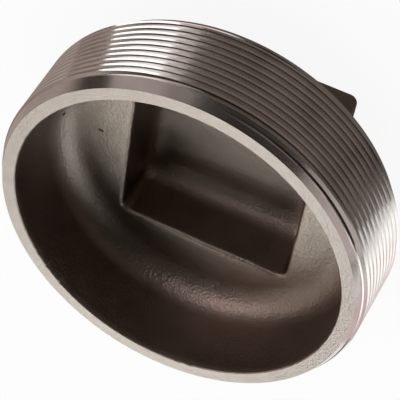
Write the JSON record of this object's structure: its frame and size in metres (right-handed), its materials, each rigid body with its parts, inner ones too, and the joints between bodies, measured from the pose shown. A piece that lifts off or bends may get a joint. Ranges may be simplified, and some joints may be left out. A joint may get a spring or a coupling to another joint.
{
  "type": "square head pipe plug",
  "caption": "Cored square head plug with a male taper pipe thread, a round cup at the thread end and a hollow square head for a wrench.",
  "frame": {"origin": "centre of the flat end of the square head, on the thread's axis", "axes": "+Z along the thread's axis, from the head's end towards the open end; X and Y square to the head's sides"},
  "size_m": [0.1122, 0.1122, 0.0514],
  "materials": {
    "cast_steel": "shot blasted casting inside and on the head, turned thread and open face"
  },
  "bodies": {
    "root": {"plug_body": "cast_steel"}
  },
  "joints": []
}
